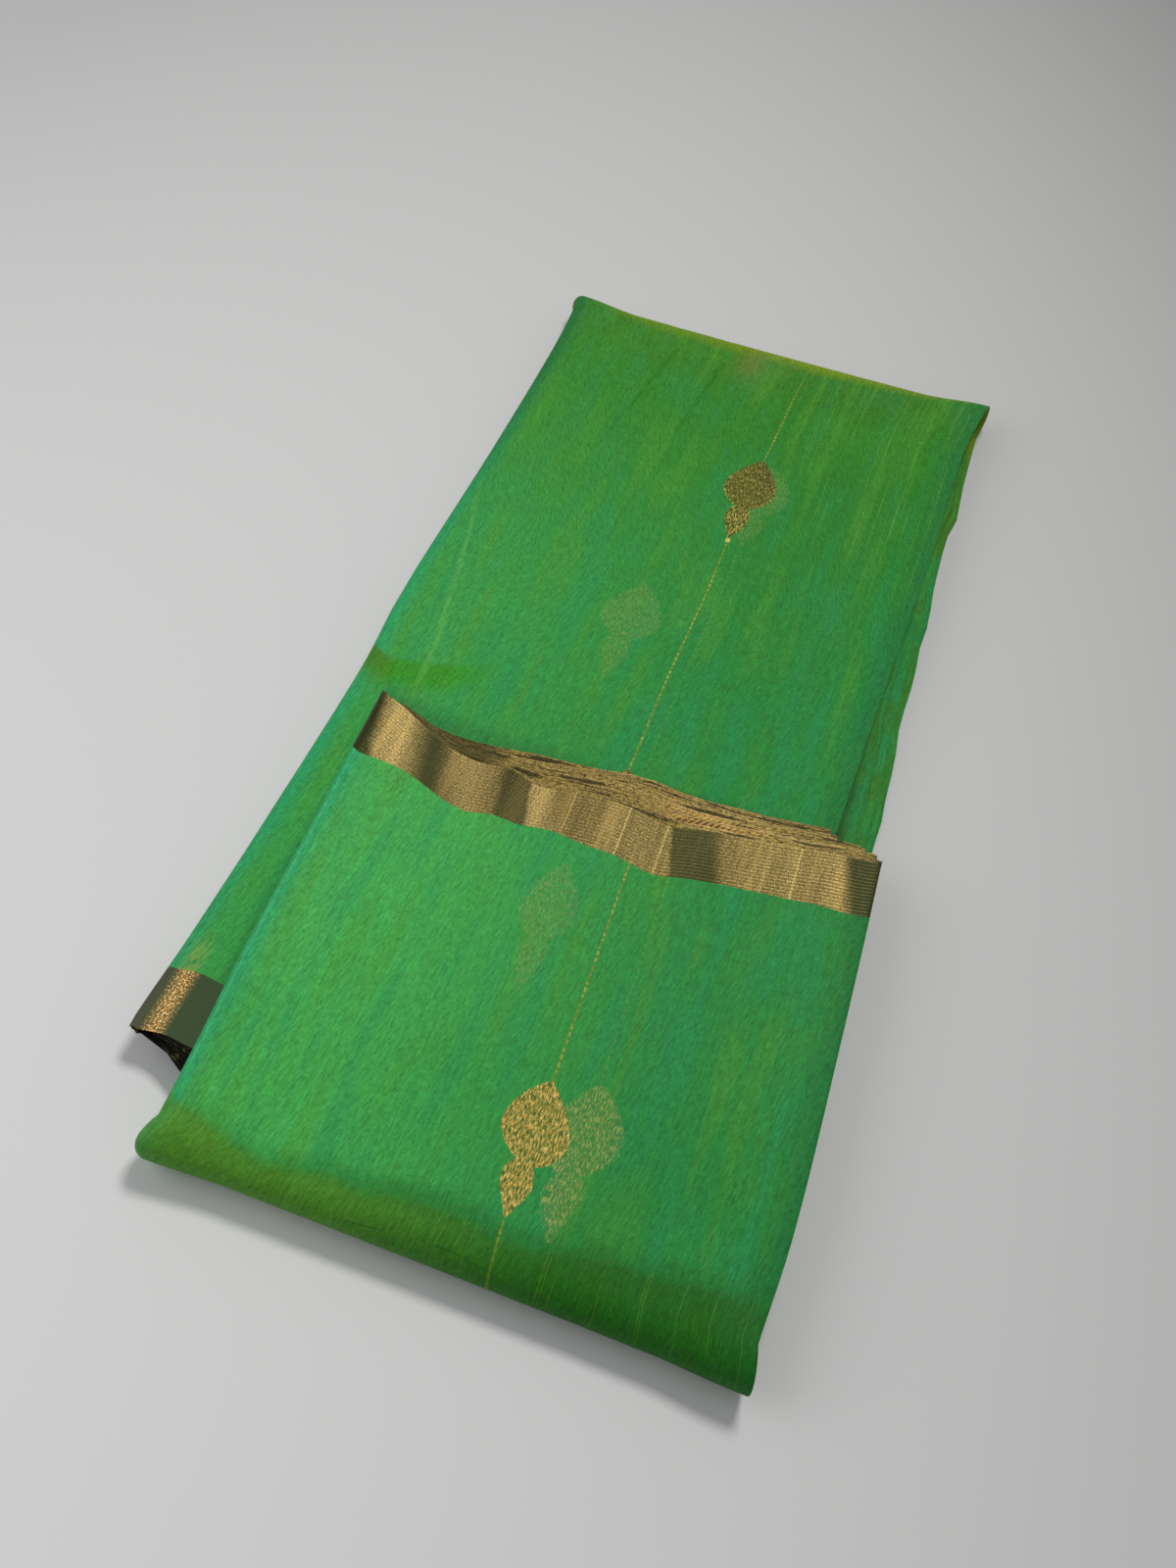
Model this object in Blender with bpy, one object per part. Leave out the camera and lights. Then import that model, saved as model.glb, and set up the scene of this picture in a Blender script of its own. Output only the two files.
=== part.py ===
"""A silk sari folded for the shelf, lying on a flat surface.

The cloth is one woven length. It is first folded back and forth across its length into
a long flat bundle, with one outer turn wrapped round the left side. The bundle is then
folded in three: an inner ply that ends at the lower left, a base ply that lies on the
surface, and a flap that comes back over the near fold and ends halfway up the pack.
Both short ends of the bundle are the cloth's selvedges.

Metres, +X to the right, +Y along the pack to its far fold, +Z up. The origin is in the
middle of the flat underside.
"""

import math
from collections import namedtuple

import bmesh
import bpy

# The cloth and the bundle that it is folded into
SHEET = 0.0010  # thickness of one modelled layer
LAYER_GAP = 0.00035  # air between layers where the bundle lies quietly
LAYERS = 6  # an even number, so that the outer turn closes round the rest
PITCH = SHEET + LAYER_GAP
DEPTH = (LAYERS - 1) * PITCH  # outer layer's centre to inner layer's centre

# The pack
FAR_FOLD_Y = 0.233  # the centres of the two folds
NEAR_FOLD_Y = -0.237
INNER_END_Y = -0.206  # where the inner ply's outer layer stops
PLY_GAP = 0.0006  # air between two plies
NEAR_FOLD_HOLLOW = 0.0052  # inside height of the near fold, which holds no ply
FOLD_REACH = 1.18  # how far a fold reaches out, in shares of its half height
FAR_FOLD_SLANT = math.radians(2.0)  # each fold line runs down to the right
NEAR_FOLD_SLANT = math.radians(2.35)
FOLD_FLARE = 0.0028  # the corners of a fold stand out past the plies' sides

# The bundle's sides
WRAP_REACH = 0.0046  # the outer turn's bulge on the left
RIGHT_BULGE = 0.8  # a right fold's bulge, in shares of its half height
INNER_TURN_INSET = 0.0095  # the inner layers' left turns lie inside the outer one
INNER_TURN_STEP = 0.0018
PAIR_INSET = 0.0030  # each inner pair of layers is a little narrower on the right
LOOSE_INSET = 0.0082  # the cloth's two loose ends lie further in
FLAP_NARROWING = 1.3  # at the flap's end these insets grow by this share

# The unevenness of the plies
HALF_WIDTH = 0.105
MIDDLE_DIP = 0.05  # the bundle is thinner in the middle
SIDE_PUFF = 0.16  # and thicker along its sides
PUFF_START = 0.72  # in shares of the half width
PUFF_RUN = 0.30
END_TAPER = 0.12  # and thinner where a ply ends
END_TAPER_RUN = 0.036
CORNER_LIFT = 0.55  # the flap's left corner opens up
CORNER_LIFT_RUN = 0.075
CORNER_LIFT_WIDTH = 0.050
LEAST_SQUEEZE = 0.86  # keeps the layers apart
INNER_DROOP = 0.0030  # the inner ply hangs where nothing is under it, at the lower left
DROOP_X = -0.100
DROOP_WIDTH = 0.030
DROOP_Y = -0.02
DROOP_RUN = 0.12
CLIMB_RUN = 0.074  # the flap comes up from the near fold over this length
FLAP_SAG = 0.0034  # the flap's right side sinks where the inner ply stops
FLAP_SAG_START = 0.004
FLAP_SAG_WIDTH = 0.022

# Stations of the mesh
OUTER_STEPS = 9
INNER_STEPS = 4
TURN_STEPS = 4
WRAP_STEPS = 8
PLY_STEPS = {"inner": 9, "base": 8, "flap": 9}
FOLD_STEPS = 9

SILK_GREEN = (0.035, 0.30, 0.075, 1.0)

# Where the sides of each ply lie, seen from above
Side = namedtuple("Side", "y left right")
SIDES = {
    "inner": (
        Side(-0.206, -0.1324, 0.0815),
        Side(-0.110, -0.1244, 0.0862),
        Side(-0.030, -0.1186, 0.0902),
        Side(0.012, -0.1188, 0.0924),
        Side(0.117, -0.1116, 0.0990),
        Side(0.200, -0.1078, 0.1034),
        Side(0.233, -0.1092, 0.1076),
    ),
    "base": (
        Side(-0.237, -0.1072, 0.1040),
        Side(-0.150, -0.1056, 0.1060),
        Side(0.000, -0.1052, 0.1050),
        Side(0.120, -0.1058, 0.1050),
        Side(0.170, -0.1064, 0.1054),
        Side(0.205, -0.1072, 0.1040),
        Side(0.233, -0.1088, 0.1076),
    ),
    "flap": (
        Side(-0.237, -0.1056, 0.1028),
        Side(-0.200, -0.1052, 0.1049),
        Side(-0.132, -0.1038, 0.1079),
        Side(-0.058, -0.1020, 0.1092),
    ),
}

# Where the flap's outer and innermost layers stop, across the pack
FlapEnd = namedtuple("FlapEnd", "x outer innermost")
FLAP_ENDS = (
    FlapEnd(-0.105, -0.0470, -0.0385),
    FlapEnd(-0.070, -0.0540, -0.0440),
    FlapEnd(-0.045, -0.0582, -0.0455),
    FlapEnd(0.030, -0.0584, -0.0440),
    FlapEnd(0.070, -0.0570, -0.0430),
    FlapEnd(0.112, -0.0530, -0.0420),
)
INNER_END_STAGGER = 0.0050  # the inner ply's inside layers reach further out

# One station across the bundle: depth is counted from the outer layer's centre
Across = namedtuple("Across", "depth left_inset right_inset share bulge")
# One station along the cloth's width: share runs from 0 to 1 within its part
Along = namedtuple("Along", "part share")


def smooth(value):
    """0 below 0, 1 above 1 and a soft step between."""
    value = min(1.0, max(0.0, value))
    return value * value * (3.0 - 2.0 * value)


def mix(start, end, share):
    return start + (end - start) * share


def read_table(rows, position, column):
    """A column of a table, read by a smooth curve through its rows."""
    key = rows[0]._fields[0]
    places = [getattr(row, key) for row in rows]
    values = [getattr(row, column) for row in rows]
    last = len(rows) - 1
    slopes = []
    for i in range(len(rows)):
        low, high = max(0, i - 1), min(last, i + 1)
        slopes.append((values[high] - values[low]) / (places[high] - places[low]))
    i = 0
    while i < last - 1 and position > places[i + 1]:
        i += 1
    span = places[i + 1] - places[i]
    t = min(1.0, max(0.0, (position - places[i]) / span))
    bend = slopes[i] * (1 - t) ** 2 * t - slopes[i + 1] * (1 - t) * t ** 2
    return mix(values[i], values[i + 1], smooth(t)) + bend * span


def layer_depth(layer):
    return layer * PITCH


def flat_run(layer, left_inset, right_inset, steps, to_right):
    """A layer's flat stretch, without its two ends' turns."""
    shares = [i / steps for i in range(steps + 1)]
    if not to_right:
        shares.reverse()
    return [Across(layer_depth(layer), left_inset, right_inset, s, 0.0) for s in shares]


def turn(first, second, left_inset, right_inset, share, reach, steps):
    """The stations of a turn from one layer to another, without the layers' own."""
    start, end = layer_depth(first), layer_depth(second)
    stations = []
    for i in range(1, steps):
        angle = math.pi * i / steps
        depth = mix(start, end, 0.5 - 0.5 * math.cos(angle))
        bulge = reach * math.sin(angle)
        stations.append(Across(depth, left_inset, right_inset, share, bulge))
    return stations


def bundle_section():
    """The whole back-and-forth section, from one loose end of the cloth to the other."""
    last = LAYERS - 1
    stations = []
    for layer in range(last - 1, 0, -1):
        to_right = layer % 2 == 1
        pair = layer // 2
        left = INNER_TURN_INSET + INNER_TURN_STEP * ((layer - 1) // 2)
        right = LOOSE_INSET if layer == last - 1 else PAIR_INSET * pair
        stations += flat_run(layer, left, right, INNER_STEPS, to_right)
        if to_right:
            reach = RIGHT_BULGE * PITCH
            stations += turn(layer, layer - 1, left, right, 1.0, reach, TURN_STEPS)
        else:
            reach = -RIGHT_BULGE * PITCH
            stations += turn(layer, layer - 1, left, right, 0.0, reach, TURN_STEPS)
    stations += flat_run(0, WRAP_REACH, 0.0, OUTER_STEPS, False)
    stations += turn(0, last, WRAP_REACH, 0.0, 0.0, -WRAP_REACH, WRAP_STEPS)
    stations += flat_run(last, WRAP_REACH, LOOSE_INSET, INNER_STEPS, True)
    return stations


def cloth_path():
    """The stations along the cloth's width, from one selvedge to the other."""
    parts = (
        ("inner", PLY_STEPS["inner"]),
        ("far_fold", FOLD_STEPS),
        ("base", PLY_STEPS["base"]),
        ("near_fold", FOLD_STEPS),
        ("flap", PLY_STEPS["flap"]),
    )
    stations = [Along("inner", 0.0)]
    for part, steps in parts:
        stations += [Along(part, (i + 1) / steps) for i in range(steps)]
    return stations


def squeeze(x, y, ply):
    """The bundle's local thickness, as a share of its quiet one."""
    side = abs(x) / HALF_WIDTH
    puff = SIDE_PUFF * smooth((side - PUFF_START) / PUFF_RUN)
    share = 1.0 - MIDDLE_DIP * (1.0 - side ** 2) + puff
    if ply == "inner":
        share -= END_TAPER * smooth((INNER_END_Y + END_TAPER_RUN - y) / END_TAPER_RUN)
    if ply == "flap":
        end = read_table(FLAP_ENDS, x, "outer")
        near_end = smooth((y - end + END_TAPER_RUN) / END_TAPER_RUN)
        share -= (END_TAPER + puff) * near_end
        corner = smooth((x + CORNER_LIFT_WIDTH) / (CORNER_LIFT_WIDTH - HALF_WIDTH))
        share += CORNER_LIFT * corner * smooth((y - end + CORNER_LIFT_RUN) / CORNER_LIFT_RUN)
    return max(LEAST_SQUEEZE, share)


def thickness(x, y, ply):
    return SHEET + DEPTH * squeeze(x, y, ply)


def base_height(x, y, depth):
    """Height of a layer's centre in the base ply, whose outer layer is at the bottom."""
    return SHEET / 2 + depth * squeeze(x, y, "base")


def inner_height(x, y, depth):
    """Height in the inner ply, which lies turned over on the base ply."""
    floor = thickness(x, y, "base") + PLY_GAP
    overhang = smooth((DROOP_X - x) / DROOP_WIDTH) * smooth((DROOP_Y - y) / DROOP_RUN)
    floor -= INNER_DROOP * overhang
    return floor + SHEET / 2 + (DEPTH - depth) * squeeze(x, y, "inner")


def flap_height(x, y, depth):
    """Height in the flap, which comes up from the near fold and lies on the inner ply."""
    on_fold = thickness(x, y, "base") + NEAR_FOLD_HOLLOW
    on_ply = inner_height(x, y, 0.0) + SHEET / 2 + PLY_GAP
    climb = smooth((y - NEAR_FOLD_Y) / CLIMB_RUN)
    floor = mix(on_fold, on_ply, climb)
    side = read_table(SIDES["inner"], y, "right")
    floor -= FLAP_SAG * smooth((x - side + FLAP_SAG_START) / FLAP_SAG_WIDTH) * climb
    return floor + SHEET / 2 + (DEPTH - depth) * squeeze(x, y, "flap")


HEIGHTS = {"inner": inner_height, "base": base_height, "flap": flap_height}


def across_x(across, left, right, narrowing):
    start = left + across.left_inset
    end = right - across.right_inset * narrowing
    return mix(start, end, across.share) + across.bulge


def slant_of(y):
    """How far the fold lines' slant moves a point down to the right, for each metre of x."""
    share = (y - NEAR_FOLD_Y) / (FAR_FOLD_Y - NEAR_FOLD_Y)
    return mix(math.tan(NEAR_FOLD_SLANT), math.tan(FAR_FOLD_SLANT), share)


def point_on_ply(across, ply, share):
    """A point of a flat ply. The plies are walked from selvedge to selvedge."""
    inside = across.depth / DEPTH
    if ply == "inner":
        y = mix(INNER_END_Y - INNER_END_STAGGER * inside, FAR_FOLD_Y, share)
    elif ply == "base":
        y = mix(FAR_FOLD_Y, NEAR_FOLD_Y, share)
    else:
        rough = mix(NEAR_FOLD_Y, SIDES["flap"][-1].y, share)
        row = SIDES["flap"]
        x = across_x(across, read_table(row, rough, "left"), read_table(row, rough, "right"), 1.0)
        outer, innermost = (read_table(FLAP_ENDS, x, name) for name in ("outer", "innermost"))
        y = mix(NEAR_FOLD_Y, mix(outer, innermost, inside), share)
    left = read_table(SIDES[ply], y, "left")
    right = read_table(SIDES[ply], y, "right")
    narrowing = 1.0 + FLAP_NARROWING * share ** 2 if ply == "flap" else 1.0
    x = across_x(across, left, right, narrowing)
    slant = slant_of(y)
    if ply == "flap":
        slant *= 1.0 - smooth(share)
    return x, y - x * slant, HEIGHTS[ply](x, y, across.depth)


def point_on_fold(across, share, lower_ply, upper_ply, y, outward):
    """A point of a fold that joins the base ply to one above it. Share 0 is at the base."""
    angle = math.pi * (share - 0.5)
    sides = [mix(read_table(SIDES[lower_ply], y, name), read_table(SIDES[upper_ply], y, name),
                 0.5 + 0.5 * math.sin(angle)) for name in ("left", "right")]
    flare = FOLD_FLARE * math.cos(angle)
    x = across_x(across, sides[0] - flare, sides[1] + flare, 1.0)
    low = HEIGHTS[lower_ply](x, y, across.depth)
    high = HEIGHTS[upper_ply](x, y, across.depth)
    reach = FOLD_REACH * (high - low) / 2 * math.cos(angle)
    z = (low + high) / 2 + (high - low) / 2 * math.sin(angle)
    return x, y + outward * reach - x * slant_of(y), z


def place(across, along):
    if along.part == "far_fold":
        return point_on_fold(across, 1.0 - along.share, "base", "inner", FAR_FOLD_Y, 1.0)
    if along.part == "near_fold":
        return point_on_fold(across, along.share, "base", "flap", NEAR_FOLD_Y, -1.0)
    return point_on_ply(across, along.part, along.share)


def silk_material():
    material = bpy.data.materials.new("shot_silk")
    material.use_nodes = True
    shader = material.node_tree.nodes["Principled BSDF"]
    shader.inputs["Base Color"].default_value = SILK_GREEN
    shader.inputs["Roughness"].default_value = 0.42
    shader.inputs["Metallic"].default_value = 0.0
    return material


def folded_sari():
    """The cloth's middle surface, strip by strip, thickened to the real solid."""
    section = bundle_section()
    bm = bmesh.new()
    rows = [[bm.verts.new(place(across, along)) for across in section] for along in cloth_path()]
    for near, far in zip(rows, rows[1:]):
        for i in range(len(section) - 1):
            bm.faces.new((near[i], near[i + 1], far[i + 1], far[i]))
    bmesh.ops.recalc_face_normals(bm, faces=bm.faces[:])
    mesh = bpy.data.meshes.new("sari_cloth")
    bm.to_mesh(mesh)
    bm.free()
    mesh.shade_smooth()
    sari = bpy.data.objects.new("sari_cloth", mesh)
    bpy.context.scene.collection.objects.link(sari)
    thicken = sari.modifiers.new("cloth_thickness", "SOLIDIFY")
    thicken.thickness = SHEET
    thicken.offset = 0.0
    thicken.use_rim = True
    sari.data.materials.append(silk_material())
    return sari


def main():
    for obj in list(bpy.data.objects):
        bpy.data.objects.remove(obj)
    folded_sari()


main()
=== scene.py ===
import math
from collections import namedtuple

import bpy
import numpy as np
from mathutils import Matrix, Vector


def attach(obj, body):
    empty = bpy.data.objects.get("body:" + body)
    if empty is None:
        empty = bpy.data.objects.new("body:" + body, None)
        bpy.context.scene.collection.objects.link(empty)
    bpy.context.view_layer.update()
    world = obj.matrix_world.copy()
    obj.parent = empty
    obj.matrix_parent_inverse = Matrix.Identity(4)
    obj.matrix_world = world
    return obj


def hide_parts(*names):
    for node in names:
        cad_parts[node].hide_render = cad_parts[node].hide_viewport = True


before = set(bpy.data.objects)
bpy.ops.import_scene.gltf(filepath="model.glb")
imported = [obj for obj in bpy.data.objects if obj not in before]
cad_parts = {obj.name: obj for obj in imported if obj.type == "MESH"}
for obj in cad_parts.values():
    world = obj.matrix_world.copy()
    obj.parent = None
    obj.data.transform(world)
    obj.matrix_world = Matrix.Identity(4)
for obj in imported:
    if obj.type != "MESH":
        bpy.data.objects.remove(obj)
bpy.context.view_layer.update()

# The pack's sizes: those of the part's source, with finer detail at the ends and edges
LIFT = 0.0003  # the lowest layer's height over the surface
STACK = 0.00745  # from the outer layer to the innermost one
LAYERS = 24
TOP_GAP = 0.00035  # extra room under the outer layer
PITCH = (STACK - TOP_GAP) / (LAYERS - 1)
CLOTH_WIDTH = 1.15

FAR_FOLD_Y = 0.233
NEAR_FOLD_Y = -0.237
INNER_END_Y = -0.211
PLY_GAP = 0.0006
NEAR_FOLD_HOLLOW = 0.0052  # more room between the plies at the near fold
FOLD_REACH = 1.18  # how far a fold reaches out, as a share of half its height
FAR_FOLD_SLANT = math.radians(2.0)
NEAR_FOLD_SLANT = math.radians(2.35)
FAR_FLARES = (0.0030, 0.0024)  # how far a fold swells past its plies, left and right
NEAR_FLARES = (0.0046, 0.0028)
FLARE_POWER = 0.9  # how evenly it swells round the fold
PINCH = 0.0052  # how far the inner end's lower layers rise to the upper one at the left
PINCH_X = -0.101
PINCH_WIDTH = 0.026
PINCH_Y = -0.170
PINCH_RUN = 0.035

WRAP_REACH = 0.0046  # how far the outer layer's turn stands out at the left
TURN_BULGE = 0.8  # and an inner turn, as a share of the pitch
INNER_TURN_INSET = 0.0095
INNER_TURN_STEP = 0.0018  # how much further in some of the turns lie
INNER_TURN_UNEVENNESS = 0.0006
RIGHT_INSETS = (0.0, 0.0030, 0.0082)  # of the outer, the middle and the innermost layers
RIGHT_STEP = 0.00045
RIGHT_UNEVENNESS = 0.0002
FLAP_NARROWING = 1.3  # how much more the right ends draw in towards the flap's end

HALF_WIDTH = 0.105
ROUGH_WIDTH = 0.2  # near enough for what varies slowly across the pack
MIDDLE_DIP = 0.05  # these and the next ones are shares of the stack's height
SIDE_PUFF = 0.16
PUFF_START = 0.72
PUFF_RUN = 0.30
END_TAPER = 0.12
END_TAPER_RUN = 0.036
CORNER_LIFT = 0.55
CORNER_LIFT_RUN = 0.075
CORNER_LIFT_WIDTH = 0.050
LEAST_SQUEEZE = 0.86
INNER_DROOP = 0.0030  # how far the inner ply sinks where it sticks out at the left
DROOP_X = -0.100
DROOP_WIDTH = 0.030
DROOP_Y = -0.02
DROOP_RUN = 0.12
CLIMB_RUN = 0.074  # over which the flap climbs from the near fold onto the inner ply
FLAP_SAG = 0.0034  # how far it sinks past the inner ply's right side
FLAP_SAG_START = 0.004
FLAP_SAG_WIDTH = 0.022

Side = namedtuple("Side", "y left right")
SIDES = {
    "inner": (
        Side(-0.206, -0.1324, 0.0815),
        Side(-0.110, -0.1244, 0.0862),
        Side(-0.030, -0.1186, 0.0902),
        Side(0.012, -0.1188, 0.0924),
        Side(0.117, -0.1124, 0.0990),
        Side(0.200, -0.1088, 0.1024),
        Side(0.233, -0.1092, 0.1076),
    ),
    "base": (
        Side(-0.237, -0.1072, 0.1050),
        Side(-0.150, -0.1056, 0.1060),
        Side(-0.030, -0.1053, 0.1062),
        Side(-0.018, -0.1053, 0.1071),
        Side(0.005, -0.1052, 0.1063),
        Side(0.016, -0.1052, 0.1067),
        Side(0.036, -0.1053, 0.1050),
        Side(0.066, -0.1054, 0.1061),
        Side(0.088, -0.1055, 0.1054),
        Side(0.102, -0.1056, 0.1067),
        Side(0.115, -0.1057, 0.1054),
        Side(0.149, -0.1061, 0.1052),
        Side(0.163, -0.1063, 0.1060),
        Side(0.174, -0.1065, 0.1083),
        Side(0.188, -0.1068, 0.1072),
        Side(0.233, -0.1088, 0.1078),
    ),
    "flap": (
        Side(-0.237, -0.1054, 0.1064),
        Side(-0.200, -0.1048, 0.1092),
        Side(-0.132, -0.1038, 0.1096),
        Side(-0.058, -0.1020, 0.1092),
    ),
}

FlapEnd = namedtuple("FlapEnd", "x outer innermost")
FLAP_ENDS = (
    FlapEnd(-0.1050, -0.0440, -0.0400),
    FlapEnd(-0.0900, -0.0474, -0.0414),
    FlapEnd(-0.0690, -0.0567, -0.0478),
    FlapEnd(-0.0536, -0.0606, -0.0480),
    FlapEnd(-0.0400, -0.0597, -0.0466),
    FlapEnd(-0.0280, -0.0625, -0.0449),
    FlapEnd(-0.0096, -0.0602, -0.0424),
    FlapEnd(0.0093, -0.0604, -0.0411),
    FlapEnd(0.0269, -0.0636, -0.0411),
    FlapEnd(0.0400, -0.0604, -0.0423),
    FlapEnd(0.0506, -0.0587, -0.0428),
    FlapEnd(0.0706, -0.0582, -0.0430),
    FlapEnd(0.0956, -0.0547, -0.0410),
    FlapEnd(0.1120, -0.0512, -0.0395),
)
RIPPLE = 0.0005  # an even wave along the flap's end
RIPPLE_TURNS = 95.0
GROUP = 4  # layers that end together under the flap's outer one
GROUP_SPREADS = (0.10, 0.33, 0.50, 0.66, 0.82, 0.98)
LAYER_SPREAD = 0.018  # what each layer of a group adds
GROUP_WAVES = 0.0012
LAYER_WAVES = 0.0004

INNER_END_STAGGER = 0.0092  # how far the deepest layer sticks out at the inner end
STAGGER_START = 0.008  # from the outer layer's left side, as the next three
STAGGER_RUN = 0.022
NOTCH_PLACE = 0.013
NOTCH_WIDTH = 0.009
INNER_END_NOTCH = 0.0018  # the inner end draws back a little near its left side
INNER_END_WAVES = 0.0009
WAVES_RISE = 12  # the inner end's waves come in over a twelfth of the depth

# The mesh's stations
OUTER_STEPS = 104
NEXT_LAYER_STEPS = 40  # the two layers under the outer one
LAYER_STEPS = 15
TURN_STEPS = 3
WRAP_STEPS = 10
PARTS = (
    ("inner", 54),
    ("far_fold", 12),
    ("base", 38),
    ("near_fold", 14),
    ("flap", 46),
)
CROWDING = 0.45  # how much the stations crowd towards a ply's end
SPREAD_HALF_WIDTH = 0.1045  # of a layer, where its coordinate across the cloth is measured

# The room in the baked map: left to right for the outer layer, its wrap and the inner layers
OUTER_ROOM = (0.02, 0.70)
WRAP_ROOM = (0.72, 0.06)
INNER_ROOM = (0.79, 0.205)
# and from the inner end to the flap's end: as much of it as has been used up at v
MapStop = namedtuple("MapStop", "v used")
MAP_STOPS = (
    MapStop(0.0, 0.0),
    MapStop(0.05, 0.09),
    MapStop(0.45, 0.46),
    MapStop(0.50, 0.52),
    MapStop(0.92, 0.62),
    MapStop(0.97, 0.69),
    MapStop(1.09, 0.90),
    MapStop(1.15, 1.0),
)
MAP_MARGIN = 0.005

# Soft troughs and ridges pressed into the visible plies
Crease = namedtuple("Crease", "ply x0 y0 x1 y1 width height")
CREASES = (
    Crease("inner", -0.1190, 0.0120, -0.0560, -0.0260, 0.0110, -0.00075),
    Crease("inner", -0.1210, 0.0330, -0.0500, 0.0050, 0.0130, 0.00045),
    Crease("inner", -0.1200, 0.0130, -0.1060, 0.0400, 0.0034, -0.00060),
    Crease("inner", -0.1190, 0.0020, -0.0980, 0.0200, 0.0060, 0.00060),
    Crease("inner", -0.0545, 0.2260, -0.0620, 0.1600, 0.0024, -0.00120),
    Crease("inner", -0.0272, 0.2260, -0.0320, 0.1750, 0.0024, -0.00110),
    Crease("inner", 0.0300, 0.2150, 0.0200, 0.1700, 0.0060, 0.00030),
    Crease("inner", 0.0640, 0.2150, 0.0500, 0.0600, 0.0080, 0.00030),
    Crease("inner", 0.0840, 0.2200, 0.0700, 0.0000, 0.0060, -0.00035),
    Crease("inner", -0.0900, 0.1800, -0.1000, 0.0600, 0.0090, 0.00040),
    Crease("inner", -0.1260, -0.0900, -0.1200, -0.2050, 0.0060, 0.00040),
    Crease("flap", -0.0600, -0.0600, -0.0700, -0.1200, 0.0130, -0.00090),
    Crease("flap", -0.0220, -0.0600, -0.0300, -0.1050, 0.0080, -0.00060),
    Crease("flap", 0.0010, -0.0580, 0.0020, -0.1000, 0.0100, 0.00060),
    Crease("flap", 0.0480, -0.0560, 0.0450, -0.0950, 0.0080, -0.00070),
    Crease("flap", 0.0720, -0.0560, 0.0660, -0.1100, 0.0100, 0.00050),
    Crease("flap", 0.0950, -0.0560, 0.0900, -0.2000, 0.0090, 0.00040),
    Crease("flap", -0.0880, -0.0800, -0.0920, -0.2200, 0.0090, 0.00045),
    Crease("flap", -0.0400, -0.2300, -0.0300, -0.1500, 0.0120, 0.00030),
    Crease("flap", 0.0500, -0.2360, 0.0560, -0.1700, 0.0100, -0.00035),
    Crease("flap", 0.1000, -0.2160, 0.1050, -0.2360, 0.0060, -0.00120),
)
CREASE_RISE = 0.024  # a crease comes in over this run, half of it before its first point
CREASE_PAST = 0.02  # it goes this far past its last point
CREASE_FADE = 0.05  # and fades over this run

# The gold line and the leaf motifs on it: where each tip lies along the cloth's width
LEAF_TIPS = (0.1734, 0.3695, 0.5860, 0.8080, 1.0329)
# Motifs of the layer below, which show faintly through
Ghost = namedtuple("Ghost", "tip across strength")
GHOSTS = (
    Ghost(0.2716, -0.0262, 0.34),
    Ghost(0.3672, 0.0064, 0.26),
    Ghost(0.4600, -0.0180, 0.10),
    Ghost(1.0370, 0.0160, 0.74),
    Ghost(1.1160, -0.0230, 0.34),
)
LEAF_BODY = 0.0308  # the leaf's length without its lobe
LEAF_HALF_WIDTH = 0.0125
LOBE_START = 0.0245  # from the tip
LOBE = 0.0265  # the lobe's length
LOBE_HALF_WIDTH = 0.0058
BEAD = 0.0500  # from the tip to the bead at the leaf's foot
GHOST_LENGTH = 0.0570
STITCHES = (1900.0, 430.0)  # in the leaves, per metre across and along the line

# Bright lines across the border on the flap
BORDER_LINES = (-0.0182, 0.0046, 0.0211, 0.0736)
BORDER = 0.0237  # the metal thread border's width
RIBS = 640.0  # in the border, per metre
DASHES = 330.0  # in the gold line, per metre
LIGHT_THREADS = 2300.0  # places for a light thread, per metre
DARK_THREADS = 1500.0  # and for a dark one that crosses them

# Where along the cloth's width one part's looks give way to the next one's
FLAP_BEGINS = (0.60, 0.61)
FLAP_GROUND = (0.55, 0.56)
FLAP_BORDER = (1.10, 1.11)
INNER_BORDER = (0.10, 0.09)

# The floor's painted light: its tone falls off to the right, to the back and to either side
FLOOR_TONE = 0.89  # at the origin
FLOOR_LIGHT_FALL = (0.57, 0.50)  # what it loses per metre to the right and to the back
FLOOR_LIGHT_CURVE = 0.90  # and per square metre to either side
FLOOR_SHARE = 0.74
FLOOR_LEAST = 0.2

random = np.random.default_rng(7)


def smooth(value):
    value = np.clip(value, 0.0, 1.0)
    return value * value * (3.0 - 2.0 * value)


def mix(start, end, share):
    return start + (end - start) * share


def read_table(rows, position, column):
    """A column of a table, read by a smooth curve through its rows."""
    key = rows[0]._fields[0]
    places = np.array([getattr(row, key) for row in rows])
    values = np.array([getattr(row, column) for row in rows])
    last = len(rows) - 1
    slopes = np.array([
        (values[min(last, i + 1)] - values[max(0, i - 1)])
        / (places[min(last, i + 1)] - places[max(0, i - 1)])
        for i in range(last + 1)
    ])
    position = np.asarray(position, float)
    i = np.clip(np.searchsorted(places, position, side="left") - 1, 0, last - 1)
    span = places[i + 1] - places[i]
    t = np.clip((position - places[i]) / span, 0.0, 1.0)
    bend = slopes[i] * (1 - t) ** 2 * t - slopes[i + 1] * (1 - t) * t ** 2
    return mix(values[i], values[i + 1], smooth(t)) + bend * span


def layer_insets():
    """For each layer, how far its left turn and its right end lie inside the outer one's."""
    left, right = [], []
    for layer in range(LAYERS):
        turn = INNER_TURN_INSET + INNER_TURN_STEP * (((layer + 1) // 2) % 3)
        left.append(turn + INNER_TURN_UNEVENNESS * random.uniform(-1, 1))
        end = RIGHT_INSETS[layer * len(RIGHT_INSETS) // LAYERS] + RIGHT_STEP * ((layer // 2) % 4)
        right.append(end + RIGHT_UNEVENNESS * random.uniform(-1, 1))
    for layer in range(2, LAYERS - 1, 2):  # two layers share a left turn
        left[layer] = left[layer - 1]
    for layer in range(1, LAYERS, 2):  # and two share a right turn
        right[layer] = right[layer - 1]
    right[0] = right[1] = 0.0
    return left, right


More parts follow.
